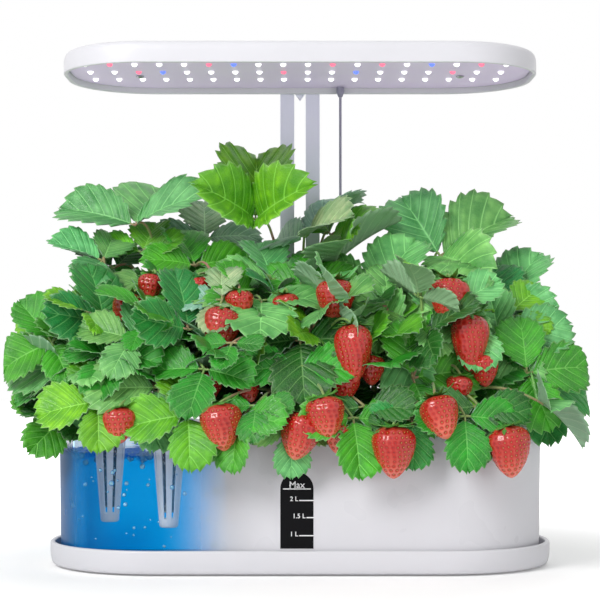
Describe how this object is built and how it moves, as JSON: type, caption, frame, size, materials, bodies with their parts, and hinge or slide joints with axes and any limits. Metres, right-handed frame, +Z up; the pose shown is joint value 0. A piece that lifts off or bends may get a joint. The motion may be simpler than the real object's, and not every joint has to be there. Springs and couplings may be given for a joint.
{
  "type": "countertop hydroponic garden",
  "caption": "Oval countertop hydroponic garden: a water tank with a planted pod deck, strawberry plants and a height-adjustable grow lamp on a two-rail mast.",
  "frame": {"origin": "centre of the tray's flat underside, on the table", "axes": "+X to the right along the tank, -Y towards the front with the level window, +Z up"},
  "size_m": [0.4022, 0.2296, 0.351],
  "materials": {
    "white_plastic": "gloss",
    "tank_plastic": "gloss",
    "smoke_plastic": "satin",
    "black_plastic": "gloss",
    "grey_panel": "satin",
    "satin_aluminium": "satin",
    "steel": "satin",
    "rubber": "matte",
    "cord": "satin",
    "circuit_board": "satin",
    "growing_medium": "matte",
    "plant": "satin"
  },
  "bodies": {
    "base": {"base_tray": "white_plastic", "grip_pad_1": "rubber", "grip_pad_2": "rubber", "grip_pad_3": "rubber", "grip_pad_4": "rubber"},
    "tank": {"tank": "tank_plastic", "level_window": "black_plastic"},
    "deck": {"deck": "white_plastic", "control_housing": "white_plastic", "control_board": "circuit_board", "dc_inlet": "black_plastic", "cord_grommet": "rubber", "mast_sleeve": "white_plastic", "fill_lid_pin": "steel", "pump_body": "black_plastic", "pump_cover": "black_plastic", "pump_riser": "smoke_plastic", "basket_1": "smoke_plastic", "basket_2": "smoke_plastic", "basket_3": "smoke_plastic", "basket_4": "smoke_plastic", "basket_5": "smoke_plastic", "basket_6": "smoke_plastic", "basket_7": "smoke_plastic", "basket_8": "smoke_plastic", "basket_9": "smoke_plastic", "basket_10": "smoke_plastic", "growing_medium_1": "growing_medium", "growing_medium_2": "growing_medium", "growing_medium_3": "growing_medium", "growing_medium_4": "growing_medium", "growing_medium_5": "growing_medium", "growing_medium_6": "growing_medium", "growing_medium_7": "growing_medium", "growing_medium_8": "growing_medium", "growing_medium_9": "growing_medium", "growing_medium_10": "growing_medium", "plant_1": "plant", "plant_2": "plant", "plant_3": "plant", "plant_4": "plant", "plant_5": "plant", "plant_6": "plant", "plant_7": "plant", "plant_8": "plant", "plant_9": "plant", "plant_10": "plant"},
    "lamp": {"mast_rail_left": "satin_aluminium", "mast_rail_right": "satin_aluminium", "lamp_bracket": "satin_aluminium", "lamp_cover": "white_plastic", "led_board": "grey_panel", "lamp_screw_left": "steel", "lamp_screw_right": "steel", "lamp_gland": "cord", "lamp_cord": "cord"},
    "impeller": {"impeller": "black_plastic"},
    "power_button": {"power_button": "white_plastic"},
    "timer_button": {"timer_button": "white_plastic"},
    "fill_lid": {"fill_lid": "white_plastic"}
  },
  "joints": [
    {"name": "tank_lift", "type": "slide", "parent": "base", "child": "tank", "axis": [0, 0, 1], "range_m": [0, 0.025]},
    {"name": "deck_lift", "type": "slide", "parent": "tank", "child": "deck", "axis": [0, 0, 1], "range_m": [0, 0.09]},
    {"name": "lamp_slide", "type": "slide", "parent": "deck", "child": "lamp", "axis": [0, 0, 1], "range_m": [-0.025, 0.06], "deforming": ["lamp_cord"]},
    {"name": "impeller_spin", "type": "hinge", "parent": "deck", "child": "impeller", "pos_m": [0.044, 0.029, 0.0235], "axis": [0, 1, 0], "continuous": true},
    {"name": "power_press", "type": "slide", "parent": "deck", "child": "power_button", "axis": [0, 0, -1], "range_m": [0, 0.0015], "stiffness_N_per_m": 150, "springref_m": -0.003},
    {"name": "timer_press", "type": "slide", "parent": "deck", "child": "timer_button", "axis": [0, 0, -1], "range_m": [0, 0.0015], "stiffness_N_per_m": 150, "springref_m": -0.003},
    {"name": "fill_lid_hinge", "type": "hinge", "parent": "deck", "child": "fill_lid", "pos_m": [-0.044, 0.0526, 0.0986], "axis": [-1, 0, 0], "range_deg": [0, 95]}
  ]
}
